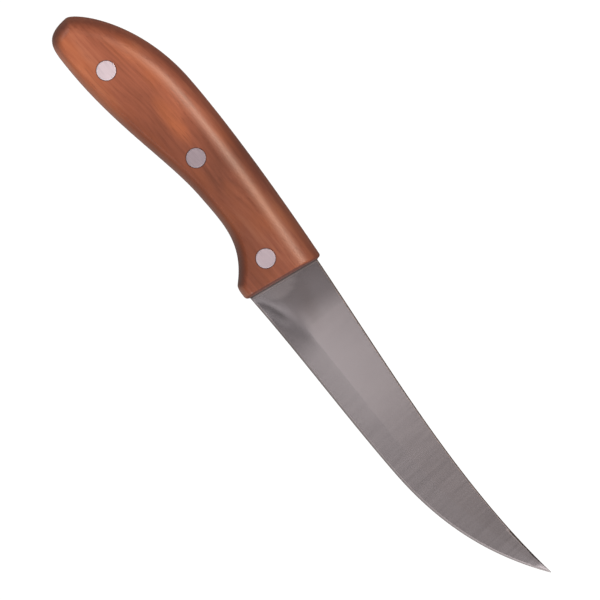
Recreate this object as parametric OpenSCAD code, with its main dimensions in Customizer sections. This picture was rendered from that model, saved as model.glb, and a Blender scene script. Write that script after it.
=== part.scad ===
// Boning knife with a full tang between two riveted wooden scales.
//
// The outline functions work in the knife's own plane: x runs along the knife from the front
// of the handle (x = 0) towards the tip, y rises towards the spine, and z = 0 is the middle of
// the steel. placed() then lays the knife on its left side, with the middle of its bounding
// box over the origin and the left scale resting on z = 0.

/* [Blade] */
// Length of the blade, from the front of the handle to the tip
blade_len = 150; // [125:1:180]
// Height of the spine above the knife's axis at the handle
spine_rise = 11.8; // [9:0.1:12.5]
// Height of the tip above the knife's axis
tip_rise = 0.7; // [-2:0.1:4]
// Depth of the cutting edge below the axis at the heel
heel_drop = 17.35; // [13:0.05:18]
// Greatest depth of the cutting edge below the axis
belly_drop = 19.35; // [17.5:0.05:24]
// Distance from the handle to that deepest point
belly_x = 83; // [60:1:100]
// Thickness of the steel at the tang and the heel
stock = 2.2; // [1.6:0.1:3]
// Thickness of the spine beside the tip
spine_tip = 1.2; // [0.8:0.1:1.6]
// Height of the ground bevel above the cutting edge
bevel_h = 9.6; // [6:0.1:12]
// Thickness of the blade at the top of the bevel, at the heel
bevel_thick = 1.72; // [1.2:0.02:1.9]
// Height of the sharpened strip along the cutting edge
hone_h = 0.7; // [0.4:0.1:1.2]
// Thickness of the blade at the top of that strip
hone_thick = 0.45; // [0.3:0.05:0.7]
// Thickness left on the cutting edge
edge_thick = 0.1; // [0.08:0.01:0.2]
// Rounding along both corners of the spine
spine_ease = 0.3; // [0.1:0.05:0.5]
// Length of the unground flat ahead of the handle, at its longest
ricasso_len = 7.6; // [5:0.1:12]
// Height of that longest point above the axis
ricasso_y = -7; // [-12:0.5:0]
// Length over which the grind runs out, above the bevel
runout_len = 13; // [8:0.5:18]
// Extra length of that run-out on the bevel
runout_extra = 9; // [0:0.5:12]

/* [Handle] */
// Length of the handle along the knife's axis
handle_len = 129; // [108:1:155]
// Thickness of the handle over both scales
handle_thick = 19; // [15:0.1:23]
// Lean of the handle's front face, in degrees
front_lean = 10.5; // [0:0.5:15]
// Height of the spine side at the front of the handle
front_rise = 13.4; // [12.8:0.1:16]
// Distance from the front to the highest point of the spine side
crown_x = 81; // [70:1:90]
// Height of that point above the axis
crown_rise = 19.85; // [16:0.05:24]
// Depth of the butt's end below the axis
nose_drop = 0.7; // [0:0.1:4]
// Distance from the butt's end to the bottom of the butt
butt_x = 14; // [10:0.5:17]
// Depth of the bottom of the butt below the axis
butt_drop = 12.5; // [10:0.1:15]
// Distance from the front to the waist on the belly side
waist_x = 45; // [38:1:52]
// Depth of the waist below the axis
waist_drop = 6.5; // [5:0.1:8]
// Distance from the front to the heel of the finger guard
guard_x = 10; // [8:0.5:12]
// Length over which the finger guard sweeps down from the waist
guard_sweep = 10.5; // [8:0.5:14]
// Depth of the finger guard below the axis
guard_drop = 18.8; // [18.2:0.1:22]

/* [Rounding of the scales] */
// Width of the rounding along the spine side, seen from the side
spine_round = 9.5; // [6:0.1:10]
// Width of the rounding along the belly side
belly_round = 3.3; // [2:0.1:4]
// Width of the rounding at the butt's end
nose_round = 5.5; // [3:0.1:7]
// Width of the rounding at the front face
front_round = 1.1; // [0.5:0.1:2]
// Radius of the two corners of the front face
front_corner = 1.3; // [0.6:0.1:2]
// Width of the square land beside the tang
side_land = 0.8; // [0.3:0.1:1.5]
// Slope at which the rounding leaves the flat face, in degrees
crease = 8; // [0:1:15]

/* [Rivets] */
// Diameter of a rivet's head
head_d = 7.5; // [6:0.1:8.5]
// Thickness of a rivet's head
head_h = 1.6; // [1:0.1:2.4]
// Outer diameter of the tubular half
tube_d = 4.8; // [4:0.1:5.6]
// Diameter of the solid half's pin, a press fit in the tube
pin_d = 3.2; // [2.4:0.1:3.6]
// Distance from the front of the handle to the front rivet
front_rivet_x = 10.6; // [9:0.1:14]
// Height of the front rivet above the axis
front_rivet_y = -3; // [-5:0.1:0]
// Distance by which the middle rivet lies ahead of the point halfway between the others
middle_rivet_ahead = 0.6; // [-3:0.1:3]
// Height of the middle rivet above the axis
middle_rivet_y = 1.95; // [0:0.1:4]
// Distance from the butt's end to the rear rivet
rear_rivet_inset = 25.2; // [20:0.1:30]
// Height of the rear rivet above the axis
rear_rivet_y = -2.05; // [-4:0.1:1]
// Bevel around the rim of a head
head_bevel = 0.15; // [0.05:0.05:0.3]

/* [Clearances] */
// Gap around a rivet's head in its counterbore
head_gap = 0.06; // [0.03:0.01:0.15]
// Gap around the tube in the scales
scale_gap = 0.1; // [0.05:0.01:0.2]
// Gap around the tube in the tang
tang_gap = 0.2; // [0.1:0.05:0.4]
// Gap left ahead of each end of a closed rivet
end_gap = 0.4; // [0.2:0.1:0.8]

/* [Hidden] */

steel = [0.55, 0.53, 0.53];
wood = [0.60, 0.36, 0.27];
rivet_metal = [0.78, 0.75, 0.77];

face_z = handle_thick/2;         // the flat outer face of a scale, above the middle of the steel
tang_z = stock/2;                // the face of the tang
tip_land = 0.3;                  // height of the blade left at its very tip
// Points along each curve of the handle's outline. The spine side and the belly side need the
// same number of them, because the tang is built from lines across, one from each pair.
spine_steps = 24;
rear_steps = 24;
guard_steps = 18;
belly_steps = 16;
toe_steps = 5;
corner_steps = 5;
butt_steps = spine_steps + rear_steps - belly_steps - guard_steps - toe_steps;
ring_steps = 8;                  // rings from the side of a scale up to its flat face
shoulder_len = 0.3;              // how far ahead of the scales the tang narrows to the blade
rivet_fn = 72;

// ---- small helpers ----

function lerp(a, b, t) = a + (b - a)*t;

function smooth(t) = let (c = max(0, min(1, t))) c*c*(3 - 2*c);

function bezier(p, t) =
    pow(1 - t, 3)*p[0] + 3*pow(1 - t, 2)*t*p[1] + 3*(1 - t)*t*t*p[2] + pow(t, 3)*p[3];

// Points along a Bezier curve, without its last one, where the next curve starts.
function curve(p, n) = [for (i = [0:n - 1]) bezier(p, i/n)];

// A corner at c, rounded from point a to point b.
function corner(a, c, b) = curve([a, lerp(a, c, 0.55), lerp(b, c, 0.55), b], corner_steps);

// A smooth curve y(x) from (x0, y0) with slope m0 to (x1, y1) with slope m1.
function slope_curve(x, x0, y0, m0, x1, y1, m1) =
    let (w = x1 - x0, t = (x - x0)/w)
    (2*t*t*t - 3*t*t + 1)*y0 + (t*t*t - 2*t*t + t)*w*m0
        + (3*t*t - 2*t*t*t)*y1 + (t*t*t - t*t)*w*m1;

// ---- outline of the handle ----

function front_x(y) = y*tan(front_lean);

// The outline of a scale at inset k: 0 is its outer edge and 1 is the edge of its flat face.
function handle_outline(k) =
    let (front_up = [sin(front_lean), cos(front_lean)],
         corner_r = lerp(front_corner, 0.3, k),
         top_y = front_rise - k*spine_round,
         low_y = -guard_drop + k*belly_round,
         top = [front_x(top_y) - k*front_round, top_y],
         low = [front_x(low_y) - k*front_round, low_y],
         crown = [-crown_x, crown_rise - k*spine_round],
         nose = [-handle_len + k*nose_round, -nose_drop - 0.3*k*spine_round],
         butt = [-handle_len + butt_x, -butt_drop + k*belly_round],
         waist = [-waist_x, -waist_drop + k*belly_round],
         heel = [-guard_x + 0.6*k*belly_round, -guard_drop + 1.1 + 0.85*k*belly_round],
         toe = [low.x - 1.3, low.y],
         spine_in = [lerp(top.x, crown.x, 0.34), lerp(top.y, crown.y, 0.54)],
         spine_start = top + corner_r*(spine_in - top)/norm(spine_in - top))
    concat(
        curve([spine_start, spine_in, [lerp(top.x, crown.x, 0.725), crown.y], crown], spine_steps),
        curve([crown, [lerp(crown.x, nose.x, 0.62), crown.y],
               [nose.x, lerp(nose.y, crown.y, 0.18)], nose], rear_steps),
        curve([nose, [nose.x, lerp(nose.y, butt.y, 0.98)],
               [lerp(nose.x, butt.x, 0.41), butt.y + 0.32], butt], butt_steps),
        curve([butt, [lerp(butt.x, waist.x, 0.414), butt.y - 1.1],
               [lerp(butt.x, waist.x, 0.747), waist.y], waist], belly_steps),
        curve([waist, [lerp(waist.x, heel.x, 0.41), waist.y],
               [heel.x - guard_sweep, waist.y + 0.8], heel], guard_steps),
        curve([heel, heel + [0.9, -0.9], toe - [1.6, 0], toe], toe_steps),
        corner(toe, low, low + corner_r*front_up),
        [low + corner_r*front_up],
        corner(top - corner_r*front_up, top, spine_start));

// ---- outline and thickness of the blade ----

tip_x = blade_len;
spine_slope = -0.12;             // slope of the spine at the handle
spine_tip_slope = 0.095;         // slope of the spine at the tip
edge_slope = 0;                  // slope of the cutting edge at the heel
edge_tip_slope = 0.68;           // slope of the cutting edge at the tip

function spine_y(x) =
    x < 0 ? spine_rise + spine_slope*x
    : slope_curve(x, 0, spine_rise, spine_slope, tip_x, tip_rise + tip_land/2, spine_tip_slope);

function edge_y(x) =
    x < 0 ? -heel_drop + edge_slope*x
    : x < belly_x ? slope_curve(x, 0, -heel_drop, edge_slope, belly_x, -belly_drop, 0)
    : slope_curve(x, belly_x, -belly_drop, 0, tip_x, tip_rise - tip_land/2, edge_tip_slope);

// Height of the bevel where the blade is tall mm high: bevel_h, less where it would not fit.
function bevel_at(tall) = pow(pow(bevel_h, -3) + pow(0.6*tall, -3), -1/3);

// Half the thickness of the fully ground blade, up mm above the edge, at distance s from the handle.
function ground_half(s, up, tall) =
    let (bevel = bevel_at(tall),
         hone = min(hone_h, 0.15*tall),
         spine = lerp(stock, spine_tip, max(0, s)/blade_len)/2*tall/(tall + 1.2),
         shoulder = bevel_thick/stock*spine,
         honed = min(hone_thick/2, 0.6*shoulder))
    up < hone ? lerp(min(edge_thick/2, 0.5*honed), honed, up/hone)
    : up < bevel ? lerp(honed, shoulder, (up - hone)/(bevel - hone))
    : lerp(shoulder, spine, (up - bevel)/(tall - bevel));

// Where the grind starts at height y: a bowed line that meets the handle above and below.
function grind_start(y) = max(shoulder_len, ricasso_len - 0.088*pow(y - ricasso_y, 2));

function runout_at(up, bevel) =
    up < bevel ? runout_len + runout_extra*smooth(up/bevel)
    : runout_len + runout_extra*(1 - smooth((up - bevel)/bevel));

// Half the thickness of the blade, with the run-out of the grind at the heel.
function blade_half(s, y, up, tall) =
    lerp(tang_z, ground_half(s, up, tall),
         smooth((s - grind_start(y))/runout_at(up, bevel_at(tall))));

// Heights above the cutting edge of the points of one cross-section.
function levels(tall) =
    let (bevel = bevel_at(tall), hone = min(hone_h, 0.15*tall), ease = min(spine_ease, 0.05*tall))
    [0, hone, lerp(hone, bevel, 0.33), lerp(hone, bevel, 0.66), 0.97*bevel, 1.03*bevel,
     lerp(bevel, tall, 0.25), lerp(bevel, tall, 0.5), lerp(bevel, tall, 0.75),
     tall - ease, tall];

level_count = len(levels(10));

// Distances of the cross-sections from the front of the handle.
stations = concat(
    [shoulder_len],
    [for (s = [2:2:30]) s],
    [for (i = [1:14]) lerp(30, 0.7*blade_len, i/14)],
    [for (i = [1:16]) lerp(0.7, 1, 1 - pow(1 - i/16, 1.5))*blade_len]);

// A closed ring of points: up the left flank and back down the right one.
// Beside the handle the sections lean as its front face does, and they are upright by the belly.
function section(s) =
    let (lean = 1 - smooth((s - shoulder_len)/40),
         spine_x = s + lean*front_x(spine_rise),
         edge_x = s - lean*front_x(heel_drop),
         spine = [spine_x, spine_y(spine_x)],
         edge = [edge_x, edge_y(edge_x)],
         tall = norm(spine - edge),
         ups = levels(tall),
         flank = [for (i = [0:level_count - 1])
             let (p = lerp(edge, spine, ups[i]/tall),
                  half = blade_half(s, p.y, ups[i], tall),
                  ease = i == level_count - 1 ? min(spine_ease, 0.3*half) : 0)
             [p.x, p.y, half - ease]])
    concat([for (p = flank) [p.x, p.y, -p.z]], [for (i = [level_count - 1:-1:0]) flank[i]]);

sections = [for (s = stations) section(s)];

// ---- solids made of rings ----

// Triangles, given by the numbers of their points, between ring a and ring b, each a list of
// point numbers. Both rings turn the same way and have the same length.
function band(a, b) =
    let (n = len(a))
    [for (i = [0:n - 1]) let (j = (i + 1)%n) each [[a[i], b[i], a[j]], [a[j], b[i], b[j]]]];

// Triangles around a hub that close the near end of a ring, and its far end.
function near_end(hub, ring) = [for (i = [0:len(ring) - 1]) [hub, ring[i], ring[(i + 1)%len(ring)]]];
function far_end(hub, ring) = [for (i = [0:len(ring) - 1]) [hub, ring[(i + 1)%len(ring)], ring[i]]];

// Triangles that open out from the two points of side a to b, a list of several points.
function fan_out(a, b) =
    let (half = floor(len(b)/2))
    concat([for (i = [0:half - 1]) [a[0], b[i], b[i + 1]]],
           [[a[0], b[half], a[1]]],
           [for (i = [half:len(b) - 2]) [a[1], b[i], b[i + 1]]]);

function run(from, count) = [for (i = [0:count - 1]) from + i];

// A point above the waist that sees the whole outline of the handle at inset k.
function waist_hub(k) =
    let (outline = handle_outline(k))
    lerp(outline[round(spine_steps/3)], [-guard_x, -guard_drop/2], 0.2);

// The rings of a scale, as [inset, height], from the tang up to the flat face.
scale_rings = concat(
    [[0, tang_z]],
    [for (i = [0:ring_steps])
        let (a = lerp(90, crease, i/ring_steps))
        [1 - (sin(a) - sin(crease))/(1 - sin(crease)),
         face_z - (face_z - tang_z - side_land)*(cos(crease) - cos(a))/cos(crease)]]);

// ---- rivets ----

rivets = [[-front_rivet_x, front_rivet_y],
          [-(front_rivet_x + handle_len - rear_rivet_inset)/2 + middle_rivet_ahead, middle_rivet_y],
          [-handle_len + rear_rivet_inset, rear_rivet_y]];
under_head = face_z - head_h;

// The head of a rivet's half, which faces up, as points [radius, height] from the rim inwards.
function head_profile(shank_r) =
    [[shank_r, under_head], [head_d/2, under_head], [head_d/2, face_z - head_bevel],
     [head_d/2 - head_bevel, face_z], [0, face_z]];

module rivet_tube(at) {
    open_end = -under_head + end_gap;
    translate([at.x, at.y, 0])
        color(rivet_metal)
            rotate_extrude($fn = rivet_fn)
                polygon(concat(head_profile(tube_d/2),
                    [[0, under_head], [pin_d/2, under_head], [pin_d/2, open_end], [tube_d/2, open_end]]));
}

module rivet_pin(at) {
    translate([at.x, at.y, 0])
        mirror([0, 0, 1])
            color(rivet_metal)
                rotate_extrude($fn = rivet_fn)
                    polygon(concat(head_profile(pin_d/2),
                        [[0, -under_head + end_gap], [pin_d/2, -under_head + end_gap]]));
}

// ---- the steel and the wood ----

// The blank: the flat tang, and the sections of the blade joined to its front edges.
module blank() {
    outline = handle_outline(0);
    n = len(outline);
    m = 2*level_count;
    last = len(sections) - 1;
    hub = 2*n;                   // three hubs: under the tang, over it, and at the tip
    first = 2*n + 3;             // the first point of the first section
    low = n - corner_steps - 1;  // the lower end of the front edge, in the outline
    tang_sides = [for (i = [0:n - 1])
        let (j = (i + 1)%n) if (i != low) each [[i, i + n, j], [j, i + n, j + n]]];
    front = [low, low + 1, low + 1 + n, low + n];
    root = run(first, m);
    left_root = [for (i = [0:level_count - 1]) root[i]];
    right_root = [for (i = [level_count:m - 1]) root[i]];
    shoulder = concat(
        fan_out([front[0], front[1]], left_root),
        [[front[1], root[level_count - 1], front[2]],
         [front[2], root[level_count - 1], root[level_count]]],
        fan_out([front[2], front[3]], right_root),
        [[front[3], root[m - 1], front[0]], [front[0], root[m - 1], root[0]]]);
    points = concat(
        [for (z = [-tang_z, tang_z], p = outline) [p.x, p.y, z]],
        [[each waist_hub(0), -tang_z], [each waist_hub(0), tang_z],
         [for (p = sections[last]) 1]*sections[last]/m],
        [for (ring = sections) each ring]);
    faces = concat(
        near_end(hub, run(0, n)), far_end(hub + 1, run(n, n)), tang_sides, shoulder,
        [for (r = [0:last - 1]) each band(run(first + r*m, m), run(first + (r + 1)*m, m))],
        far_end(hub + 2, run(first + last*m, m)));
    polyhedron(points, faces);
}

module blade() {
    color(steel)
        difference() {
            blank();
            for (at = rivets)
                translate([at.x, at.y, -stock])
                    cylinder(h = 2*stock, d = tube_d + 2*tang_gap, $fn = rivet_fn);
        }
}

module right_scale() {
    n = len(handle_outline(0));
    last = len(scale_rings) - 1;
    hub = (last + 1)*n;
    sides = [for (r = [0:last - 1]) each band(run(r*n, n), run((r + 1)*n, n))];
    points = concat(
        [for (ring = scale_rings, p = handle_outline(ring[0])) [p.x, p.y, ring[1]]],
        [[each waist_hub(0), tang_z], [each waist_hub(1), face_z]]);
    faces = concat(sides, near_end(hub, run(0, n)), far_end(hub + 1, run(last*n, n)));
    color(wood)
        difference() {
            polyhedron(points, faces);
            for (at = rivets) {
                translate([at.x, at.y, 0])
                    cylinder(h = face_z + 1, d = tube_d + 2*scale_gap, $fn = rivet_fn);
                translate([at.x, at.y, under_head])
                    cylinder(h = head_h + 1, d = head_d + 2*head_gap, $fn = rivet_fn);
            }
        }
}

module left_scale() {
    mirror([0, 0, 1]) right_scale();
}

// ---- placing the knife ----

outline_points = concat(handle_outline(0),
    [for (ring = sections) each [ring[0], ring[level_count - 1]]]);
xs = [for (p = outline_points) p.x];
ys = [for (p = outline_points) p.y];
middle = [(min(xs) + max(xs))/2, (min(ys) + max(ys))/2];

module placed() {
    translate([-middle.x, -middle.y, face_z]) children();
}

placed() blade();
placed() right_scale();
placed() left_scale();
placed() rivet_tube(rivets[0]);  // front_rivet_tube
placed() rivet_pin(rivets[0]);  // front_rivet_pin
placed() rivet_tube(rivets[1]);  // middle_rivet_tube
placed() rivet_pin(rivets[1]);  // middle_rivet_pin
placed() rivet_tube(rivets[2]);  // rear_rivet_tube
placed() rivet_pin(rivets[2]);  // rear_rivet_pin
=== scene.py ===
import math

import bmesh
import bpy
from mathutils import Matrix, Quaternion, Vector


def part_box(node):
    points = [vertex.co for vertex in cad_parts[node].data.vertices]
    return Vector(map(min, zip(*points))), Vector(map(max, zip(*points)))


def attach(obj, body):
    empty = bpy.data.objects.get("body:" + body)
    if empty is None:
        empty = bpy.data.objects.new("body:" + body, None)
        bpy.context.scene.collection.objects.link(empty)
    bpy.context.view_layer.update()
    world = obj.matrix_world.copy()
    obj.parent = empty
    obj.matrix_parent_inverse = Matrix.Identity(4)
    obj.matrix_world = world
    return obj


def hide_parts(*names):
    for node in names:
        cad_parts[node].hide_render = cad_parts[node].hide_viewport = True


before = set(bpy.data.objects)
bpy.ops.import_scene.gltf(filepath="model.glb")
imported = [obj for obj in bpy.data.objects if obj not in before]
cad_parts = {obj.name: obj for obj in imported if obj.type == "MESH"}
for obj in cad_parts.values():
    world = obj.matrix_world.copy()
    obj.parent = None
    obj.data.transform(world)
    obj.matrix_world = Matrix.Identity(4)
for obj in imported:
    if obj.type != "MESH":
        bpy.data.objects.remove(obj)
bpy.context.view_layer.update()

mm = 0.001


# ---- the knife's own plane: x towards the tip, y towards the spine, z = 0 inside the steel ----

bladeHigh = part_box("blade")[1]
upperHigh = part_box("right_scale")[1]
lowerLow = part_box("left_scale")[0]

# sizes in mm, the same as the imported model's
handle = {
    "length": 129, "thick": 19, "frontLean": 10.5, "frontRise": 13.4,
    "crownX": 81, "crownRise": 19.85, "noseDrop": 0.7, "buttX": 14, "buttDrop": 12.5,
    "waistX": 45, "waistDrop": 6.5, "guardX": 10, "guardSweep": 10.5, "guardDrop": 18.8,
    "spineRound": 9.5, "bellyRound": 3.3, "noseRound": 5.5, "frontRound": 1.1,
    "frontCorner": 1.3, "sideLand": 0.8, "crease": 8,
}
blade = {
    "length": 150, "spineRise": 11.8, "tipRise": 0.7, "heelDrop": 17.35, "bellyDrop": 19.35,
    "bellyX": 83, "stock": 2.2, "spineTip": 1.2, "bevelHeight": 9.6, "bevelThick": 1.72,
    "honeHeight": 0.7, "honeThick": 0.45, "edgeThick": 0.1, "spineEase": 0.3,
    "ricassoLength": 7.6, "ricassoY": -7, "runout": 13, "runoutExtra": 9,
    "shoulder": 0.3, "tipLand": 0.3,
}

handleFront = bladeHigh.x - blade["length"]*mm
knifeAxis = upperHigh.y - handle["crownRise"]*mm
middlePlane = (lowerLow.z + upperHigh.z)/2


def place(x, y, z):
    return Vector((handleFront + x*mm, knifeAxis + y*mm, middlePlane + z*mm))


def between(a, b, t):
    return a + (b - a)*t


def smooth(t):
    t = max(0.0, min(1.0, t))
    return t*t*(3 - 2*t)


def curve(a, b, c, d, steps):
    # points along a Bezier curve, without its last one
    points = []
    for i in range(steps):
        t = i/steps
        points.append(a*(1 - t)**3 + b*3*t*(1 - t)**2 + c*3*t*t*(1 - t) + d*t**3)
    return points


def roundedCorner(a, corner, b, steps):
    return curve(a, between(a, corner, 0.55), between(b, corner, 0.55), b, steps)


# ---- modelling helpers ----

def startAlone():
    # operators act on all that is selected, so nothing else may be
    if bpy.context.object and bpy.context.object.mode != "OBJECT":
        bpy.ops.object.mode_set(mode="OBJECT")
    bpy.ops.object.select_all(action="DESELECT")


def pick(piece):
    startAlone()
    piece.select_set(True)
    bpy.context.view_layer.objects.active = piece


def nameIt(piece, name):
    piece.name = name
    piece.data.name = name
    return piece


def selectWhere(piece, test, kind="VERT"):
    # in edit mode: selects only the points, edges or faces for which the test holds
    bpy.ops.mesh.select_mode(type=kind)
    bpy.ops.mesh.select_all(action="DESELECT")
    mesh = bmesh.from_edit_mesh(piece.data)
    items = {"VERT": mesh.verts, "EDGE": mesh.edges, "FACE": mesh.faces}[kind]
    for item in items:
        if test(item):
            item.select_set(True)
    mesh.select_flush(True)
    bmesh.update_edit_mesh(piece.data)


def extrudeRings(name, rings, closeStart=True, closeEnd=True):
    # a circle is moved onto the first ring, and its edge is extruded onto each next ring
    startAlone()
    bpy.ops.mesh.primitive_circle_add(vertices=len(rings[0]), radius=10*mm)
    piece = nameIt(bpy.context.object, name)
    bpy.ops.object.mode_set(mode="EDIT")
    bpy.ops.mesh.select_mode(type="VERT")
    bpy.ops.mesh.select_all(action="SELECT")
    spot = {}
    for number, ring in enumerate(rings):
        if number:
            bpy.ops.mesh.extrude_region_move()
        mesh = bmesh.from_edit_mesh(piece.data)
        mesh.verts.index_update()
        newSpot = {}
        for vert in mesh.verts:
            if vert.select:
                if number:
                    below = [edge.other_vert(vert) for edge in vert.link_edges]
                    newSpot[vert.index] = spot[[v.index for v in below if not v.select][0]]
                else:
                    newSpot[vert.index] = vert.index
                vert.co = ring[newSpot[vert.index]]
        spot = newSpot
        bmesh.update_edit_mesh(piece.data)
    if closeEnd:
        bpy.ops.mesh.edge_face_add()
    if closeStart:
        selectWhere(piece, lambda vert: vert.index < len(rings[0]))
        bpy.ops.mesh.edge_face_add()
    bpy.ops.mesh.select_all(action="SELECT")
    bpy.ops.mesh.normals_make_consistent(inside=False)
    bpy.ops.object.mode_set(mode="OBJECT")
    return piece


def drill(piece, centre, radius, bottom, top):
    # a round hole through the piece, between two heights in mm
    startAlone()
    bpy.ops.mesh.primitive_cylinder_add(
        vertices=96, radius=radius*mm, depth=(top - bottom)*mm,
        location=place(centre[0], centre[1], (bottom + top)/2))
    cutter = bpy.context.object
    pick(piece)
    cut = piece.modifiers.new("drill", "BOOLEAN")
    cut.operation = "DIFFERENCE"
    cut.solver = "EXACT"
    cut.object = cutter
    bpy.ops.object.modifier_apply(modifier=cut.name)
    bpy.data.objects.remove(cutter)


def smoothOver(piece, degrees):
    # smooth shading, in which the large flat faces keep their own direction
    pick(piece)
    bpy.ops.object.shade_smooth_by_angle(angle=math.radians(degrees))
    weighted = piece.modifiers.new("even", "WEIGHTED_NORMAL")
    weighted.keep_sharp = True
    bpy.ops.object.modifier_apply(modifier=weighted.name)


# ---- the handle's scales ----

scaleDetail = {
    "spineSteps": 44, "rearSteps": 44, "buttSteps": 18, "bellySteps": 30, "guardSteps": 34,
    "toeSteps": 9, "cornerSteps": 8, "roundingSteps": 14,
    "seamBreak": 0.12,           # how far the edge beside the steel is broken
    "flatBorder": 0.04,          # a narrow border that keeps the flat's shading flat
    "rimBreak": 0.12,            # bevel around each counterbore
}


def handleOutline(k):
    # the outline at inset k: 0 is the outer edge of the wood and 1 the edge of its flat
    h, d = handle, scaleDetail
    lean = math.radians(h["frontLean"])
    frontUp = Vector((math.sin(lean), math.cos(lean)))
    cornerRadius = between(h["frontCorner"], 0.3, k)
    topY = h["frontRise"] - k*h["spineRound"]
    lowY = -h["guardDrop"] + k*h["bellyRound"]
    top = Vector((topY*math.tan(lean) - k*h["frontRound"], topY))
    low = Vector((lowY*math.tan(lean) - k*h["frontRound"], lowY))
    crown = Vector((-h["crownX"], h["crownRise"] - k*h["spineRound"]))
    nose = Vector((-h["length"] + k*h["noseRound"], -h["noseDrop"] - 0.3*k*h["spineRound"]))
    butt = Vector((-h["length"] + h["buttX"], -h["buttDrop"] + k*h["bellyRound"]))
    waist = Vector((-h["waistX"], -h["waistDrop"] + k*h["bellyRound"]))
    heel = Vector((-h["guardX"] + 0.6*k*h["bellyRound"],
                   -h["guardDrop"] + 1.1 + 0.85*k*h["bellyRound"]))
    toe = Vector((low.x - 1.3, low.y))
    spineIn = Vector((between(top.x, crown.x, 0.34), between(top.y, crown.y, 0.54)))
    spineStart = top + (spineIn - top).normalized()*cornerRadius
    points = []
    points += curve(spineStart, spineIn, Vector((between(top.x, crown.x, 0.725), crown.y)),
                    crown, d["spineSteps"])
    points += curve(crown, Vector((between(crown.x, nose.x, 0.62), crown.y)),
                    Vector((nose.x, between(nose.y, crown.y, 0.18))), nose, d["rearSteps"])
    points += curve(nose, Vector((nose.x, between(nose.y, butt.y, 0.98))),
                    Vector((between(nose.x, butt.x, 0.41), butt.y + 0.32)), butt, d["buttSteps"])
    points += curve(butt, Vector((between(butt.x, waist.x, 0.414), butt.y - 1.1)),
                    Vector((between(butt.x, waist.x, 0.747), waist.y)), waist, d["bellySteps"])
    points += curve(waist, Vector((between(waist.x, heel.x, 0.41), waist.y)),
                    Vector((heel.x - h["guardSweep"], waist.y + 0.8)), heel, d["guardSteps"])
    points += curve(heel, heel + Vector((0.9, -0.9)), toe - Vector((1.6, 0)), toe, d["toeSteps"])
    points += roundedCorner(toe, low, low + frontUp*cornerRadius, d["cornerSteps"])
    points.append(low + frontUp*cornerRadius)
    points += roundedCorner(top - frontUp*cornerRadius, top, spineStart, d["cornerSteps"])
    return points


def outlineRing(k, z):
    return [place(p.x, p.y, z) for p in handleOutline(k)]


rivets = {
    "headD": 7.5, "headThick": 1.6, "tubeD": 4.8, "pinD": 3.2, "headBevel": 0.15,
    "headGap": 0.06, "scaleGap": 0.1, "tangGap": 0.2, "endGap": 0.4, "pinBreak": 0.25,
    "outerRing": 0.3, "innerRing": 1.5,          # widths of the two rings of faces on a head
    "centres": {"front": (-10.6, -3.0), "middle": (-56.6, 1.95), "rear": (-103.8, -2.05)},
    "paintedSheen": {"front": 0.29, "middle": 0.04, "rear": 0.8},   # how bright each head is: a painted sheen, one value per head
}

faceZ = handle["thick"]/2
tangZ = blade["stock"]/2
underHead = faceZ - rivets["headThick"]


def makeRightScale():
    crease = math.radians(handle["crease"])
    steps = scaleDetail["roundingSteps"]
    rise = faceZ - tangZ - handle["sideLand"]
    rings = [outlineRing(0.02, tangZ), outlineRing(0, tangZ + scaleDetail["seamBreak"])]
    for i in range(steps + 1):
        a = between(math.pi/2, crease, i/steps)
        inset = 1 - (math.sin(a) - math.sin(crease))/(1 - math.sin(crease))
        z = faceZ - rise*(math.cos(crease) - math.cos(a))/math.cos(crease)
        rings.append(outlineRing(inset, z))
    rings.append(outlineRing(1 + scaleDetail["flatBorder"], faceZ))
    scale = extrudeRings("right_scale_wood", rings)
    boreR = rivets["headD"]/2 + rivets["headGap"]
    for centre in rivets["centres"].values():
        drill(scale, centre, rivets["tubeD"]/2 + rivets["scaleGap"], tangZ - 1, underHead + 0.5)
        drill(scale, centre, boreR, underHead, faceZ + 1)
    # the rim of each counterbore is broken a little
    pick(scale)
    bpy.ops.object.mode_set(mode="EDIT")
    centres = [place(x, y, faceZ) for x, y in rivets["centres"].values()]

    def onRim(edge):
        return all(min((v.co - c).length for c in centres) < (boreR + 0.02)*mm
                   and abs(v.co.z - centres[0].z) < 1e-6 for v in edge.verts)

    selectWhere(scale, onRim, "EDGE")
    bpy.ops.mesh.bevel(offset=scaleDetail["rimBreak"]*mm, segments=1)
    bpy.ops.object.mode_set(mode="OBJECT")
    smoothOver(scale, 35)
    paintRimShade(scale)
    return scale


def makeLeftScale(rightScale):
    # the other scale is the mirror image of the first
    pick(rightScale)
    bpy.ops.object.duplicate(linked=False)
    scale = nameIt(bpy.context.object, "left_scale_wood")
    bpy.ops.object.mode_set(mode="EDIT")
    bpy.ops.mesh.select_all(action="SELECT")
    bpy.ops.transform.resize(value=(1, 1, -1), center_override=(0, 0, middlePlane))
    bpy.ops.mesh.normals_make_consistent(inside=False)
    bpy.ops.object.mode_set(mode="OBJECT")
    return scale


edgeShade = {
    "from": 0.97, "over": 0.32,  # how far a surface has turned from level when the painted shade begins
    "belly": 0.12,               # share left along the belly
    "frontShade": 0.7,             # how much more painted shade on the end beside the steel
}


def paintRimShade(scale):
    # painted shade: the roundings are darker than the flats, except along the belly: an attribute of
    # each point, from the way its surface faces
    stain = scale.data.attributes.new("stain", "FLOAT", "POINT")
    values = []
    for vert in scale.data.vertices:
        n = vert.normal
        turned = smooth((edgeShade["from"] - abs(n.z))/edgeShade["over"])
        dark = max(smooth((n.y + 0.3)/0.6), smooth(-n.x/0.6), smooth(n.x/0.6))
        front = 1 + edgeShade["frontShade"]*smooth(n.x/0.6)
        values.append(turned*max(edgeShade["belly"], dark)*front)
    stain.data.foreach_set("value", values)


# ---- the blade and its tang, one piece of steel ----

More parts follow.
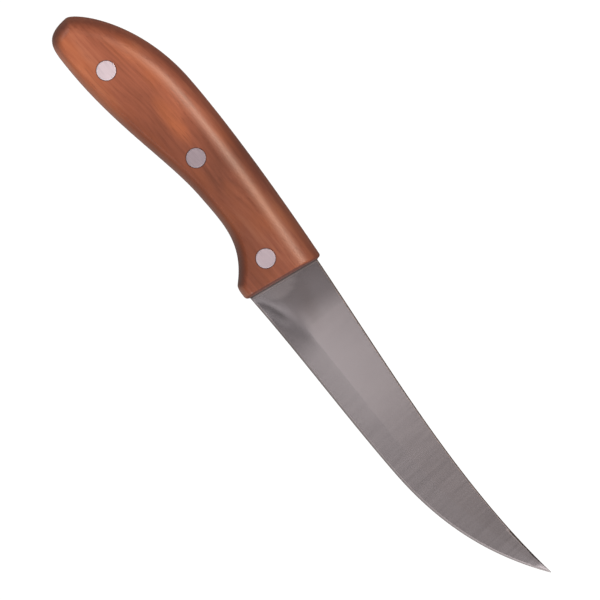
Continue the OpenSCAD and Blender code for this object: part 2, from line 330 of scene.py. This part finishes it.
def slopeCurve(x, x0, y0, slope0, x1, y1, slope1):
    width = x1 - x0
    t = (x - x0)/width
    return ((2*t**3 - 3*t*t + 1)*y0 + (t**3 - 2*t*t + t)*width*slope0
            + (3*t*t - 2*t**3)*y1 + (t**3 - t*t)*width*slope1)


def spineY(x):
    if x < 0:
        return blade["spineRise"] - 0.12*x
    return slopeCurve(x, 0, blade["spineRise"], -0.12,
                      blade["length"], blade["tipRise"] + blade["tipLand"]/2, 0.095)


def edgeY(x):
    if x < 0:
        return -blade["heelDrop"]
    if x < blade["bellyX"]:
        return slopeCurve(x, 0, -blade["heelDrop"], 0, blade["bellyX"], -blade["bellyDrop"], 0)
    return slopeCurve(x, blade["bellyX"], -blade["bellyDrop"], 0,
                      blade["length"], blade["tipRise"] - blade["tipLand"]/2, 0.68)


def bevelAt(tall):
    return (blade["bevelHeight"]**-3 + (0.6*tall)**-3)**(-1/3)


def groundHalf(s, up, tall):
    # half the thickness of the ground blade, up mm above the edge
    bevel = bevelAt(tall)
    hone = min(blade["honeHeight"], 0.15*tall)
    stock = between(blade["stock"], blade["spineTip"], max(0, s)/blade["length"])
    spine = stock/2*tall/(tall + 1.2)
    shoulder = blade["bevelThick"]/blade["stock"]*spine
    honed = min(blade["honeThick"]/2, 0.6*shoulder)
    if up < hone:
        return between(min(blade["edgeThick"]/2, 0.5*honed), honed, up/hone)
    if up < bevel:
        return between(honed, shoulder, (up - hone)/(bevel - hone))
    return between(shoulder, spine, (up - bevel)/(tall - bevel))


def bladeHalf(s, y, up, tall):
    # the same with the grind's run-out at the heel
    bevel = bevelAt(tall)
    start = max(blade["shoulder"], blade["ricassoLength"] - 0.088*(y - blade["ricassoY"])**2)
    if up < bevel:
        length = blade["runout"] + blade["runoutExtra"]*smooth(up/bevel)
    else:
        length = blade["runout"] + blade["runoutExtra"]*(1 - smooth((up - bevel)/bevel))
    return between(tangZ, groundHalf(s, up, tall), smooth((s - start)/length))


def sectionLevels(tall):
    # heights above the edge at which a section has points, close together at the grind line
    bevel = bevelAt(tall)
    hone = min(blade["honeHeight"], 0.15*tall)
    ease = min(blade["spineEase"], 0.05*tall)
    low = [0, 0.5*hone, hone, 1.3*hone]
    low += [between(hone, bevel, t) for t in (0.15, 0.33, 0.5, 0.66, 0.82)]
    high = [between(bevel, tall, t) for t in (0.12, 0.25, 0.38, 0.5, 0.62, 0.75, 0.87)]
    top = [tall - 2.2*ease, tall - ease, tall - 0.3*ease, tall]
    return low + [0.98*bevel, 1.02*bevel] + high + top


def bladeSection(s):
    # one closed section: up the left flank and back down the right one
    lean = (1 - smooth((s - blade["shoulder"])/40))*math.tan(math.radians(handle["frontLean"]))
    spineX = s + lean*blade["spineRise"]
    edgeX = s - lean*blade["heelDrop"]
    spine = Vector((spineX, spineY(spineX)))
    edge = Vector((edgeX, edgeY(edgeX)))
    tall = (spine - edge).length
    levels = sectionLevels(tall)
    flank = []
    for i, up in enumerate(levels):
        p = between(edge, spine, up/tall)
        half = bladeHalf(s, p.y, up, tall)
        ease = min(blade["spineEase"], 0.3*half)
        if i == len(levels) - 1:
            half -= ease
        if i == len(levels) - 2:
            half -= 0.3*ease
        flank.append((p.x, p.y, half))
    return [place(x, y, -z) for x, y, z in flank] + [place(x, y, z) for x, y, z in reversed(flank)]


def makeBlade():
    length = blade["length"]
    stations = [blade["shoulder"]] + [float(s) for s in range(1, 34)]
    stations += [between(33, 0.7*length, i/30) for i in range(1, 31)]
    stations += [between(0.7, 1, 1 - (1 - i/26)**1.5)*length for i in range(1, 27)]
    steel = extrudeRings("blade_steel", [bladeSection(s) for s in stations], closeStart=False)
    # the tang is the handle's outline, as thick as the stock, left open at its front edge
    tang = extrudeRings("tang", [outlineRing(0, -tangZ), outlineRing(0, tangZ)])
    pick(tang)
    bpy.ops.object.mode_set(mode="EDIT")
    ring = outlineRing(0, 0)
    low = len(ring) - scaleDetail["cornerSteps"] - 1
    frontLow, frontTop = ring[low], ring[low + 1]

    def atFront(face):
        middle = face.calc_center_median()
        return (middle - (frontLow + frontTop)/2).length < 0.05*mm

    selectWhere(tang, atFront, "FACE")
    bpy.ops.mesh.delete(type="ONLY_FACE")
    bpy.ops.object.mode_set(mode="OBJECT")
    steel.select_set(True)
    bpy.context.view_layer.objects.active = steel
    bpy.ops.object.join()
    # the tang's open front edge and the blade's first section are bridged
    bpy.ops.object.mode_set(mode="EDIT")
    selectWhere(steel, lambda edge: edge.is_boundary, "EDGE")
    bpy.ops.mesh.bridge_edge_loops()
    bpy.ops.mesh.select_all(action="SELECT")
    bpy.ops.mesh.normals_make_consistent(inside=False)
    bpy.ops.object.mode_set(mode="OBJECT")
    for centre in rivets["centres"].values():
        drill(steel, centre, rivets["tubeD"]/2 + rivets["tangGap"], -blade["stock"], blade["stock"])
    smoothOver(steel, 30)
    finishSteel(steel)
    return steel


steelZones = {
    # in mm unless said otherwise: s runs from the wood to the tip, up from the edge to the spine
    "flatCoarseAndShade": 0.5,                       # share of the coarse finish and painted shade on the flat beside the handle
    "lowEnd": 23, "highEnd": 13.5,           # where the coarse run-out and its painted shade end, low and high up
    "fade": 12,                              # length over which it fades
    "tipLength": 6, "tipDim": 0.5,          # the last of the blade, and how much painted shade it gets
    "pale": -0.12, "paleLength": 10,         # the smoother start of the bevel, painted paler as a highlight
    # painted shade on the honed edge and in the corner beside the wood; the tang's edge is coarse
    "honeDim": 0.75, "cornerDim": 0.9, "tangCoarse": 0.35,
}


def finishSteel(steel):
    # two attributes of each point: the first darkens the run-out at the heel and, less, the flat
    # beside the handle, partly a coarser grind and partly painted shade;
    # the second is painted shade on the edges, the spine's corners and where the surface turns from
    # level, and a painted highlight where the bevel begins
    coarse = steel.data.attributes.new("coarse", "FLOAT", "POINT")
    raw = steel.data.attributes.new("raw", "FLOAT", "POINT")
    coarseAndShadeValues, steelShadeValues = [], []
    zones = steelZones
    for vert in steel.data.vertices:
        x = (vert.co.x - handleFront)/mm
        y = (vert.co.y - knifeAxis)/mm
        s = x - y*math.tan(math.radians(handle["frontLean"]))*(1 - smooth(x/40))
        up = y - edgeY(max(0, x))
        start = blade["ricassoLength"] - 2.4 - 0.075*(y - blade["ricassoY"])**2
        end = between(zones["lowEnd"], zones["highEnd"],
                      smooth((up - 0.7*blade["bevelHeight"])/5))
        value = between(zones["flatCoarseAndShade"], 1, smooth((s - start)/2))
        value *= 1 - smooth((s - end + 3)/zones["fade"])
        value *= between(0.8, 1, smooth((up - 0.8*blade["bevelHeight"])/3))
        coarseAndShadeValues.append(value)
        down = spineY(x) - y
        nearTip = smooth((x - blade["length"] + zones["tipLength"])/4)
        # painted shade wherever the surface turns away from level, and towards the tip
        dim = max(smooth((0.9 - abs(vert.normal.z))/0.2), zones["tipDim"]*nearTip)
        if dim == 0:
            # below zero is a little smoother, and painted paler than the flank as a highlight, where
            # the bevel begins
            along = smooth(s/2)*(1 - smooth((s - zones["paleLength"])/6))
            dim = zones["pale"]*along*(1 - smooth((up - 5)/5))
        if x > 0 and up < 1.1*blade["honeHeight"]:
            dim = max(dim, zones["honeDim"])     # painted shade on the honed edge
        if x > 0 and down < 1.6*min(blade["spineEase"], 0.05*(up + down)):
            dim = 1                                # painted shade on the eased corners of the spine
        if abs(s) < 2*blade["shoulder"]:
            dim = zones["cornerDim"]              # painted shade in the corner beside the wood
        if s < -2*blade["shoulder"]:
            dim = 0                                # the tang's edge, as bright as the flank
            coarseAndShadeValues[-1] = zones["tangCoarse"]
        steelShadeValues.append(dim)
    coarse.data.foreach_set("value", coarseAndShadeValues)
    raw.data.foreach_set("value", steelShadeValues)


# ---- the rivets ----

def headAndShank(name, shankD, shankBottom):
    # a cylinder for the shank, whose top face is widened and extruded into the head
    startAlone()
    depth = (underHead - shankBottom)*mm
    bpy.ops.mesh.primitive_cylinder_add(
        vertices=64, radius=shankD/2*mm, depth=depth,
        location=(0, 0, middlePlane + shankBottom*mm + depth/2))
    half = nameIt(bpy.context.object, name)
    bpy.ops.object.transform_apply(location=True, rotation=True, scale=True)
    headZ = middlePlane + underHead*mm
    bpy.ops.object.mode_set(mode="EDIT")
    selectWhere(half, lambda face: face.normal.z > 0.9, "FACE")
    bpy.ops.mesh.extrude_region_move()
    widen = rivets["headD"]/shankD
    bpy.ops.transform.resize(value=(widen, widen, 1), center_override=(0, 0, headZ))
    bpy.ops.mesh.extrude_region_move(
        TRANSFORM_OT_translate={"value": (0, 0, rivets["headThick"]*mm)})
    selectWhere(half, lambda edge: all(v.co.z > middlePlane + (faceZ - 0.01)*mm for v in edge.verts),
                "EDGE")
    bpy.ops.mesh.bevel(offset=rivets["headBevel"]*mm, segments=3, profile=0.6)
    # two rings of faces on top, which keep the head's shading flat out to the rim
    selectWhere(half, lambda face: face.normal.z > 0.9999
                and face.calc_center_median().z > middlePlane + (faceZ - 0.01)*mm, "FACE")
    bpy.ops.mesh.inset(thickness=rivets["outerRing"]*mm)
    bpy.ops.mesh.inset(thickness=rivets["innerRing"]*mm)
    bpy.ops.object.mode_set(mode="OBJECT")
    return half


def makeTube():
    shankBottom = -underHead + rivets["endGap"]
    tube = headAndShank("tube_half", rivets["tubeD"], shankBottom)
    # the bore for the pin, from the open end up to the head
    bpy.ops.object.mode_set(mode="EDIT")
    selectWhere(tube, lambda face: face.normal.z < -0.9
                and face.calc_center_median().z < middlePlane, "FACE")
    bpy.ops.mesh.inset(thickness=(rivets["tubeD"] - rivets["pinD"])/2*mm)
    bpy.ops.mesh.extrude_region_move(
        TRANSFORM_OT_translate={"value": (0, 0, (underHead - shankBottom)*mm)})
    bpy.ops.object.mode_set(mode="OBJECT")
    return tube


def makePin():
    # the solid half comes from the other side, so it is turned over
    pin = headAndShank("pin_half", rivets["pinD"], -underHead + rivets["endGap"])
    bpy.ops.object.mode_set(mode="EDIT")
    selectWhere(pin, lambda edge: all(v.co.z < middlePlane for v in edge.verts), "EDGE")
    bpy.ops.mesh.bevel(offset=rivets["pinBreak"]*mm, segments=2)
    bpy.ops.mesh.select_all(action="SELECT")
    bpy.ops.transform.resize(value=(1, 1, -1), center_override=(0, 0, middlePlane))
    bpy.ops.mesh.normals_make_consistent(inside=False)
    bpy.ops.object.mode_set(mode="OBJECT")
    return pin


def setRivets(model, kind):
    # the same half is set in each of the three holes, every copy with its own mesh
    halves = []
    smoothOver(model, 35)
    for spot, centre in rivets["centres"].items():
        pick(model)
        bpy.ops.object.duplicate(linked=False)
        half = nameIt(bpy.context.object, spot + "_rivet_" + kind + "_metal")
        there = place(centre[0], centre[1], 0)
        bpy.ops.transform.translate(value=(there.x, there.y, 0))
        bpy.ops.object.transform_apply(location=True, rotation=True, scale=True)
        # each head's painted sheen, kept as an attribute
        tone = half.data.attributes.new("tone", "FLOAT", "POINT")
        tone.data.foreach_set("value", [rivets["paintedSheen"][spot]]*len(half.data.vertices))
        halves.append((half, spot + "_rivet_" + kind))
    bpy.data.objects.remove(model)
    return halves


# ---- materials ----

def colour(hexCode):
    # sRGB hex to the linear colour a shader takes
    values = [int(hexCode[i:i + 2], 16)/255 for i in (1, 3, 5)]
    return [v/12.92 if v <= 0.04045 else ((v + 0.055)/1.055)**2.4 for v in values] + [1]


def addNode(tree, kind, settings=None, inputs=None):
    # one node with its settings; an input is a value, or (node, output) for a link
    node = tree.nodes.new(kind)
    for name, value in (settings or {}).items():
        setattr(node, name, value)
    for name, value in (inputs or {}).items():
        if isinstance(value, tuple) and isinstance(value[0], bpy.types.Node):
            tree.links.new(value[0].outputs[value[1]], node.inputs[name])
        else:
            node.inputs[name].default_value = value
    return node


def rampStops(node, stops):
    ramp = node.color_ramp
    while len(ramp.elements) < len(stops):
        ramp.elements.new(0.5)
    for element, (position, value) in zip(ramp.elements, stops):
        element.position = position
        element.color = colour(value) if isinstance(value, str) else (value, value, value, 1)
    return node


def newMaterial(name):
    material = bpy.data.materials.new(name)
    material.use_nodes = True
    material.node_tree.nodes.clear()
    return material, material.node_tree


def finishMaterial(tree, shader):
    addNode(tree, "ShaderNodeOutputMaterial", None, {"Surface": (shader, "BSDF")})


wood = {
    "dark": "#703D2A", "middle": "#8A4E38", "light": "#A1664B", "orange": "#A05A34",
    # the rim colour and its depth are painted shade on the roundings
    "pore": "#4E2418", "stain": "#4A2013", "paintedRimShadeDepth": 0.52, "grip": "#552816",
    "patch": 26, "streakLength": 22, "streakWidth": 1.5, "poreLength": 6, "poreWidth": 0.5,
    "ring": "#3A1C14", "ringWidth": 0.5, "ringDepth": 0.6,
    "wander": 45, "warp": 0.004,                 # how long the waves are, and how deep
    "polish": (0.32, 0.4), "edgeRoughness": 0.2,
    # share of each tone along the handle, from the butt (0) to the front (1)
    "board": [(0.0, 1.0), (0.48, 0.95), (0.62, 0.62), (0.8, 0.62), (1.0, 0.7)],
    "gripAlong": [(0.15, 0.0), (0.46, 1.0), (0.82, 1.0), (0.98, 0.05)],
}


def lacqueredHardwood():
    # reddish hardwood, sanded and lacquered: long soft streaks under a clear satin film,
    # which gives a milky highlight along the roundings
    material, tree = newMaterial("lacquered_red_hardwood")
    where = addNode(tree, "ShaderNodeTexCoord")
    # the streaks are wavy, because the board's rings are
    wander = addNode(tree, "ShaderNodeTexNoise", None, {
        "Vector": (where, "Object"), "Scale": 1000/wood["wander"], "Detail": 1.0})
    bent = addNode(tree, "ShaderNodeMixRGB", {"blend_type": "LINEAR_LIGHT"}, {
        "Fac": wood["warp"], "Color1": (where, "Object"), "Color2": (wander, "Color")})
    streakPlace = addNode(tree, "ShaderNodeMapping", None, {
        "Vector": (bent, "Color"),
        "Scale": (1000/wood["streakLength"], 1000/wood["streakWidth"], 1000/wood["streakWidth"])})
    streaks = addNode(tree, "ShaderNodeTexNoise", None, {
        "Vector": (streakPlace, "Vector"), "Scale": 1.0, "Detail": 4.0, "Roughness": 0.6})
    patchPlace = addNode(tree, "ShaderNodeMapping", None, {
        "Vector": (where, "Object"), "Location": (0.31, 0.12, 0),
        "Scale": (1000/wood["patch"]/2.2, 1000/wood["patch"]*1.4, 1000/wood["patch"])})
    patches = addNode(tree, "ShaderNodeTexNoise", None, {
        "Vector": (patchPlace, "Vector"), "Scale": 1.0, "Detail": 2.0})
    both = addNode(tree, "ShaderNodeMixRGB", {"blend_type": "MIX"}, {
        "Fac": 0.62, "Color1": (streaks, "Fac"), "Color2": (patches, "Fac")})
    tone = rampStops(addNode(tree, "ShaderNodeValToRGB", None, {"Fac": (both, "Color")}),
                     [(0.36, wood["dark"]), (0.5, wood["middle"]), (0.66, wood["light"])])
    # the wood is more orange in places
    orangePlace = addNode(tree, "ShaderNodeMapping", None, {
        "Vector": (where, "Object"), "Location": (0.7, 0.4, 0.2), "Scale": (35, 90, 90)})
    orangeNoise = addNode(tree, "ShaderNodeTexNoise", None, {
        "Vector": (orangePlace, "Vector"), "Scale": 1.0, "Detail": 2.0})
    orangeFac = rampStops(addNode(tree, "ShaderNodeValToRGB", None, {"Fac": (orangeNoise, "Fac")}),
                          [(0.45, 0.0), (0.75, 0.7)])
    warm = addNode(tree, "ShaderNodeMixRGB", None, {
        "Fac": (orangeFac, "Color"), "Color1": (tone, "Color"), "Color2": colour(wood["orange"])})
    # the board is palest towards the butt and darkest around the middle of the grip
    apart = addNode(tree, "ShaderNodeSeparateXYZ", None, {"Vector": (bent, "Color")})
    along = addNode(tree, "ShaderNodeMapRange", None, {
        "Value": (apart, "X"), "From Min": -0.14, "From Max": -0.01})
    board = rampStops(addNode(tree, "ShaderNodeValToRGB", None, {"Fac": (along, "Result")}),
                      wood["board"])
    warm = addNode(tree, "ShaderNodeMixRGB", {"blend_type": "MULTIPLY"}, {
        "Fac": 1.0, "Color1": (warm, "Color"), "Color2": (board, "Color")})
    # and darker still near the belly of the grip
    gripFac = rampStops(addNode(tree, "ShaderNodeValToRGB", None, {"Fac": (along, "Result")}),
                        wood["gripAlong"])
    bellyFac = addNode(tree, "ShaderNodeMapRange", None, {
        "Value": (apart, "Y"), "From Min": 0.002, "From Max": -0.009, "To Min": 0.0, "To Max": 0.8})
    gripShare = addNode(tree, "ShaderNodeMath", {"operation": "MULTIPLY"}, {
        0: (gripFac, "Color"), 1: (bellyFac, "Result")})
    warm = addNode(tree, "ShaderNodeMixRGB", None, {
        "Fac": (gripShare, "Value"), "Color1": (warm, "Color"), "Color2": colour(wood["grip"])})
    # pores: short dark dashes along the grain
    porePlace = addNode(tree, "ShaderNodeMapping", None, {
        "Vector": (bent, "Color"),
        "Scale": (1000/wood["poreLength"], 1000/wood["poreWidth"], 1000/wood["poreWidth"])})
    poreNoise = addNode(tree, "ShaderNodeTexNoise", None, {
        "Vector": (porePlace, "Vector"), "Scale": 1.0, "Detail": 2.0})
    pores = rampStops(addNode(tree, "ShaderNodeValToRGB", None, {"Fac": (poreNoise, "Fac")}),
                      [(0.58, 0.0), (0.74, 0.3)])
    grain = addNode(tree, "ShaderNodeMixRGB", None, {
        "Fac": (pores, "Color"), "Color1": (warm, "Color"), "Color2": colour(wood["pore"])})
    # painted shade on the roundings, read from a point attribute
    stain = addNode(tree, "ShaderNodeAttribute", {"attribute_name": "stain"})
    rimShadeFac = addNode(tree, "ShaderNodeMath", {"operation": "MULTIPLY"}, {
        0: (stain, "Fac"), 1: wood["paintedRimShadeDepth"]})
    rimShaded = addNode(tree, "ShaderNodeMixRGB", None, {
        "Fac": (rimShadeFac, "Value"), "Color1": (grain, "Color"), "Color2": colour(wood["stain"])})
    # a narrow dark ring in the wood around each rivet head
    spotXY = addNode(tree, "ShaderNodeSeparateXYZ", None, {"Vector": (where, "Object")})
    level = addNode(tree, "ShaderNodeCombineXYZ", None, {"X": (spotXY, "X"), "Y": (spotXY, "Y")})
    for x, y in rivets["centres"].values():
        away = addNode(tree, "ShaderNodeVectorMath", {"operation": "DISTANCE"}, {
            0: (level, "Vector"), 1: (place(x, y, 0).x, place(x, y, 0).y, 0)})
        ring = addNode(tree, "ShaderNodeMapRange", None, {
            "Value": (away, "Value"), "From Min": rivets["headD"]/2*mm,
            "From Max": (rivets["headD"]/2 + wood["ringWidth"])*mm,
            "To Min": wood["ringDepth"], "To Max": 0.0})
        rimShaded = addNode(tree, "ShaderNodeMixRGB", None, {
            "Fac": (ring, "Result"), "Color1": (rimShaded, "Color"), "Color2": colour(wood["ring"])})
    polish = addNode(tree, "ShaderNodeMapRange", None, {
        "Value": (streaks, "Fac"), "To Min": wood["polish"][0], "To Max": wood["polish"][1]})
    roughness = addNode(tree, "ShaderNodeMath", {"operation": "MULTIPLY_ADD"}, {
        0: (stain, "Fac"), 1: wood["edgeRoughness"], 2: (polish, "Result")})
    height = addNode(tree, "ShaderNodeMixRGB", {"blend_type": "SUBTRACT"}, {
        "Fac": 0.6, "Color1": (streaks, "Fac"), "Color2": (pores, "Color")})
    bump = addNode(tree, "ShaderNodeBump", None, {
        "Strength": 0.25, "Distance": 0.05*mm, "Height": (height, "Color")})
    shader = addNode(tree, "ShaderNodeBsdfPrincipled", None, {
        "Base Color": (rimShaded, "Color"), "Roughness": (roughness, "Value"),
        "Normal": (bump, "Normal"), "IOR": 1.46})
    finishMaterial(tree, shader)
    return material


steelFinish = {
    "dark": "#B4ACAF", "light": "#BCB4B7", "lineWidth": 1.2, "lineLength": 18, "cloud": 30,
    "raw": "#443F3D", "coarse": "#8E878A", "roughness": 0.25, "shadedEdgeRoughness": 0.65,
}


def satinStainlessSteel():
    # stainless blade steel, ground across the blade and satin finished: a warm grey with
    # fine lines from spine to edge and soft clouds
    material, tree = newMaterial("satin_ground_stainless_steel")
    where = addNode(tree, "ShaderNodeTexCoord")
    linePlace = addNode(tree, "ShaderNodeMapping", None, {
        "Vector": (where, "Object"),     # real lines are 0.05 mm apart: drawn coarser so they show
        "Scale": (1000/steelFinish["lineWidth"], 1000/steelFinish["lineLength"],
                  1000/steelFinish["lineLength"])})
    lines = addNode(tree, "ShaderNodeTexNoise", None, {
        "Vector": (linePlace, "Vector"), "Scale": 1.0, "Detail": 1.0})
    clouds = addNode(tree, "ShaderNodeTexNoise", None, {
        "Vector": (where, "Object"), "Scale": 1000/steelFinish["cloud"], "Detail": 2.0})
    both = addNode(tree, "ShaderNodeMixRGB", None, {
        "Fac": 0.5, "Color1": (lines, "Fac"), "Color2": (clouds, "Fac")})
    tone = rampStops(addNode(tree, "ShaderNodeValToRGB", None, {"Fac": (both, "Color")}),
                     [(0.35, steelFinish["dark"]), (0.65, steelFinish["light"])])
    # painted shade: the point attributes darken the heel's run-out, which is also a coarser grind,
    # and the edges and corners; below zero they paint a highlight
    raw = addNode(tree, "ShaderNodeAttribute", {"attribute_name": "raw"})
    coarse = addNode(tree, "ShaderNodeAttribute", {"attribute_name": "coarse"})
    groundAndShaded = addNode(tree, "ShaderNodeMixRGB", None, {
        "Fac": (coarse, "Fac"), "Color1": (tone, "Color"), "Color2": colour(steelFinish["coarse"])})
    edged = addNode(tree, "ShaderNodeMixRGB", None, {
        "Fac": (raw, "Fac"), "Color1": (groundAndShaded, "Color"), "Color2": colour(steelFinish["raw"])})
    satin = addNode(tree, "ShaderNodeMath", {"operation": "MULTIPLY_ADD"}, {
        0: (both, "Color"), 1: 0.06, 2: steelFinish["roughness"] - 0.03})
    roughness = addNode(tree, "ShaderNodeMath", {"operation": "MULTIPLY_ADD"}, {
        0: (raw, "Fac"), 1: steelFinish["shadedEdgeRoughness"] - steelFinish["roughness"],
        2: (satin, "Value")})
    bump = addNode(tree, "ShaderNodeBump", None, {
        "Strength": 0.03, "Distance": 0.01*mm, "Height": (lines, "Fac")})
    shader = addNode(tree, "ShaderNodeBsdfPrincipled", None, {
        "Base Color": (edged, "Color"), "Metallic": 1.0, "Roughness": (roughness, "Value"),
        "Normal": (bump, "Normal")})
    finishMaterial(tree, shader)
    return material


rivetFinish = {"dim": "#938A94", "bright": "#DCD2DD", "scratch": 0.35, "scratchLength": 5,
               "roughness": (0.36, 0.5), "metallic": 0.75}


def sandedAluminium():
    # aluminium rivet heads sanded flush with the wood: pale, matt, with short lines along the grip
    material, tree = newMaterial("sanded_aluminium")
    where = addNode(tree, "ShaderNodeTexCoord")
    # the tone attribute is a painted sheen, brighter on some heads than on others
    tone = addNode(tree, "ShaderNodeAttribute", {"attribute_name": "tone"})
    scratchPlace = addNode(tree, "ShaderNodeMapping", None, {
        "Vector": (where, "Object"),
        "Scale": (1000/rivetFinish["scratchLength"], 1000/rivetFinish["scratch"],
                  1000/rivetFinish["scratch"])})
    scratches = addNode(tree, "ShaderNodeTexNoise", None, {
        "Vector": (scratchPlace, "Vector"), "Scale": 1.0, "Detail": 3.0})
    mixed = addNode(tree, "ShaderNodeMath", {"operation": "MULTIPLY_ADD"}, {
        0: (scratches, "Fac"), 1: 0.3, 2: -0.15})
    level = addNode(tree, "ShaderNodeMath", {"operation": "ADD", "use_clamp": True}, {
        0: (tone, "Fac"), 1: (mixed, "Value")})
    metalTone = addNode(tree, "ShaderNodeMixRGB", None, {
        "Fac": (level, "Value"), "Color1": colour(rivetFinish["dim"]),
        "Color2": colour(rivetFinish["bright"])})
    roughness = addNode(tree, "ShaderNodeMapRange", None, {
        "Value": (scratches, "Fac"), "To Min": rivetFinish["roughness"][0],
        "To Max": rivetFinish["roughness"][1]})
    bump = addNode(tree, "ShaderNodeBump", None, {
        "Strength": 0.2, "Distance": 0.02*mm, "Height": (scratches, "Fac")})
    shader = addNode(tree, "ShaderNodeBsdfPrincipled", None, {
        "Base Color": (metalTone, "Color"), "Metallic": rivetFinish["metallic"],
        "Roughness": (roughness, "Result"), "Normal": (bump, "Normal")})
    finishMaterial(tree, shader)
    return material


def give(piece, material, node):
    piece.data.materials.clear()
    piece.data.materials.append(material)
    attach(piece, "root")
    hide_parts(node)


rightScale = makeRightScale()
leftScale = makeLeftScale(rightScale)
print("scales made")
bladeSteel = makeBlade()
print("blade made")
tubes = setRivets(makeTube(), "tube")
pins = setRivets(makePin(), "pin")
print("rivets set")

woodMaterial = lacqueredHardwood()
steelMaterial = satinStainlessSteel()
rivetMaterial = sandedAluminium()
give(rightScale, woodMaterial, "right_scale")
give(leftScale, woodMaterial, "left_scale")
give(bladeSteel, steelMaterial, "blade")
for half, node in tubes + pins:
    give(half, rivetMaterial, node)
print("materials given")


# ---- floor, lights and camera ----

studio = {
    "floorSize": 6.0, "floorGap": 0.0002, "floorColour": "#A3A09E",
    "fibreColour": "#AAA7A5", "floorGlow": 0.94, "floorEmission": 1.08, "sensor": 36,
    "worldColour": "#F6F2F0", "worldStrength": 0.24,
    "lens": 800, "viewWidth": 227.4, "turn": 49.07, "aimX": -0.7, "aimY": -3.78,
    # place and size in metres, power in watts
    "lights": {
        "spine_strip": {"at": (-0.05, 0.58, 0.86), "size": (0.36, 0.12), "power": 6.6,
                        "turn": 35, "tint": "#FFDCC4"},
        "blade_glow": {"at": (0.026, -0.026, 0.37), "size": (0.062, 0.05),
                       "power": 0.012},     # a weak lamp close above, for the blade's bright patch
        "left_fill": {"at": (-1.6, -0.2, 1.2), "size": (1.0, 1.0), "power": 6},
        "key": {"at": (1.3, -0.95, 1.5), "size": (1.3, 1.3), "power": 70},
    },
}


def makeFloor():
    startAlone()
    bpy.ops.mesh.primitive_plane_add(size=studio["floorSize"],
                                     location=(0, 0, lowerLow.z - studio["floorGap"]))
    floor = nameIt(bpy.context.object, "floor")
    bpy.ops.object.transform_apply(location=True, rotation=True, scale=True)
    # a backlit white sheet: it glows for the camera only, so it looks white itself and throws
    # less light back on the knife
    material, tree = newMaterial("backlit_white_sheet")
    where = addNode(tree, "ShaderNodeTexCoord")
    fibre = addNode(tree, "ShaderNodeTexNoise", None, {
        "Vector": (where, "Object"), "Scale": 400.0, "Detail": 2.0})
    shade = addNode(tree, "ShaderNodeMixRGB", None, {
        "Fac": (fibre, "Fac"), "Color1": colour(studio["floorColour"]),
        "Color2": colour(studio["fibreColour"])})
    paper = addNode(tree, "ShaderNodeBsdfDiffuse", None, {"Color": (shade, "Color")})
    glow = addNode(tree, "ShaderNodeEmission", None, {
        "Color": (1, 1, 1, 1), "Strength": studio["floorEmission"]})
    path = addNode(tree, "ShaderNodeLightPath")
    share = addNode(tree, "ShaderNodeMath", {"operation": "MULTIPLY"}, {
        0: (path, "Is Camera Ray"), 1: studio["floorGlow"]})
    sheet = addNode(tree, "ShaderNodeMixShader", None, {"Fac": (share, "Value")})
    tree.links.new(paper.outputs["BSDF"], sheet.inputs[1])
    tree.links.new(glow.outputs["Emission"], sheet.inputs[2])
    addNode(tree, "ShaderNodeOutputMaterial", None, {"Surface": (sheet, "Shader")})
    floor.data.materials.append(material)


def makeLights():
    world = bpy.data.worlds.new("studio")
    bpy.context.scene.world = world
    world.use_nodes = True
    background = world.node_tree.nodes["Background"]
    background.inputs["Color"].default_value = colour(studio["worldColour"])
    background.inputs["Strength"].default_value = studio["worldStrength"]
    for name, lamp in studio["lights"].items():
        startAlone()
        bpy.ops.object.light_add(type="AREA", location=lamp["at"])
        light = nameIt(bpy.context.object, name)
        light.data.shape = "RECTANGLE"
        light.data.size, light.data.size_y = lamp["size"]
        light.data.energy = lamp["power"]
        light.data.color = colour(lamp.get("tint", "#FFFFFF"))[:3]
        aim = Vector((lamp["at"][0]*0.3, 0, 0)) - Vector(lamp["at"])
        facing = aim.to_track_quat("-Z", "Y")
        facing.rotate(Quaternion(aim, math.radians(lamp.get("turn", 0))))
        light.rotation_euler = facing.to_euler()
        light.visible_camera = False


def makeCamera():
    startAlone()
    distance = studio["viewWidth"]*mm*studio["lens"]/studio["sensor"]
    bpy.ops.object.camera_add(
        location=(studio["aimX"]*mm, studio["aimY"]*mm, middlePlane + distance),
        rotation=(0, 0, math.radians(studio["turn"])))
    camera = nameIt(bpy.context.object, "camera")
    camera.data.lens = studio["lens"]
    camera.data.sensor_width = studio["sensor"]
    camera.data.clip_end = 20
    bpy.context.scene.camera = camera
    bpy.context.scene.view_settings.view_transform = "Standard"


makeFloor()
makeLights()
makeCamera()
print("studio set")
